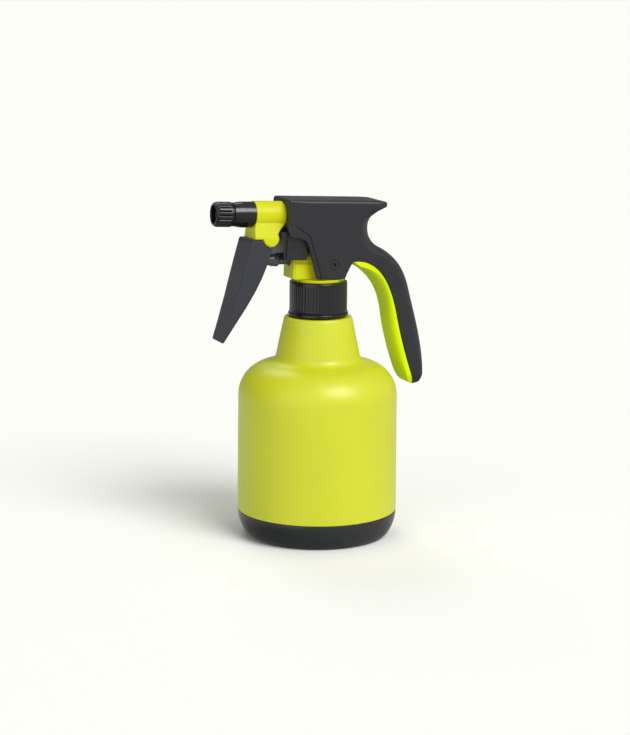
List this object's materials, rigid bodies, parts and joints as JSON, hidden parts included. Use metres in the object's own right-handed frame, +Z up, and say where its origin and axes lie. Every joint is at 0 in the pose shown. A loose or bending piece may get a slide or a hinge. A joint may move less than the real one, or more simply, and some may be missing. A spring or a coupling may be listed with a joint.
{
  "type": "hand mister",
  "caption": "Hand mister: lime tank in a dark foot, ribbed screw collar, and a trigger pump head with an adjustable nozzle and a curved rear handle.",
  "frame": {"origin": "on the tank's axis, on the underside of the foot", "axes": "+Z up along the tank's axis; -X is the side the nozzle sprays to, +X the handle's side; XZ is the plane of symmetry"},
  "size_m": [0.1323, 0.0958, 0.2043],
  "materials": {
    "tank_lime": "fine satin polyethylene",
    "foot_dark": "satin",
    "black_gloss": "glossy black",
    "lime_gloss": "glossy lime",
    "grip_lime": "soft-touch lime",
    "shroud_dark": "fine textured dark grey",
    "trigger_dark": "satin dark grey",
    "inner_black": "satin black",
    "natural_plastic": "natural translucent polypropylene",
    "piston_grey": "glossy grey",
    "seal_rubber": "matt rubber",
    "steel": "stainless"
  },
  "bodies": {
    "tank": {"bottle": "tank_lime", "foot": "foot_dark"},
    "head": {"neck_gasket": "seal_rubber", "valve_seat": "natural_plastic", "vent_seal": "seal_rubber", "dip_tube": "natural_plastic", "tube_filter": "inner_black", "pump_body": "lime_gloss", "cylinder_cover": "inner_black", "nozzle_holder": "lime_gloss", "spout": "black_gloss", "outlet_spring": "steel", "swirl_insert": "inner_black", "trigger_pin": "steel", "return_spring": "steel", "shroud": "shroud_dark", "grip_insert": "grip_lime", "shroud_pins": "inner_black"},
    "screw_collar": {"collar": "black_gloss"},
    "check_ball": {"inlet_ball": "steel"},
    "outlet_disc": {"outlet_valve": "seal_rubber"},
    "seal_carrier": {"nozzle_seal": "seal_rubber"},
    "spray_cap": {"nozzle_cap": "black_gloss"},
    "finger_lever": {"trigger": "trigger_dark"},
    "plunger": {"piston": "piston_grey", "piston_seal": "seal_rubber"}
  },
  "joints": [
    {"name": "head_rise", "type": "slide", "parent": "tank", "child": "head", "axis": [0, 0, 1], "range_m": [0, 0.00635]},
    {"name": "collar_turn", "type": "hinge", "parent": "head", "child": "screw_collar", "pos_m": [0, 0, 0.144], "axis": [0, 0, 1], "range_deg": [0, 540]},
    {"name": "trigger_pull", "type": "hinge", "parent": "head", "child": "finger_lever", "pos_m": [-0.03347, 0, 0.18158], "axis": [0, -1, 0], "range_deg": [0, 22], "stiffness_Nm_per_rad": 0.4, "springref_deg": -28.65},
    {"name": "plunger_stroke", "type": "slide", "parent": "head", "child": "plunger", "axis": [0.999, 0, -0.0436], "range_m": [0, 0.00535], "deforming": ["return_spring"]},
    {"name": "ball_lift", "type": "slide", "parent": "head", "child": "check_ball", "axis": [0, 0, 1], "range_m": [0, 0.001]},
    {"name": "outlet_lift", "type": "slide", "parent": "head", "child": "outlet_disc", "axis": [-0.999, 0, 0.0436], "range_m": [0, 0.0008], "stiffness_N_per_m": 60, "springref_m": -0.002, "deforming": ["outlet_spring"]},
    {"name": "nozzle_advance", "type": "slide", "parent": "head", "child": "seal_carrier", "axis": [-0.999, 0, 0.0436], "range_m": [0, 0.0024]},
    {"name": "nozzle_turn", "type": "hinge", "parent": "seal_carrier", "child": "spray_cap", "pos_m": [-0.06028, 0, 0.19577], "axis": [-0.999, 0, 0.0436], "range_deg": [0, 540]}
  ],
  "couplings": [
    {"joint": "collar_turn", "follows": "head_rise", "rad_per_m": 1484},
    {"joint": "plunger_stroke", "follows": "trigger_pull", "m_per_rad": 0.01391},
    {"joint": "nozzle_advance", "follows": "nozzle_turn", "m_per_rad": 0.0002546}
  ]
}
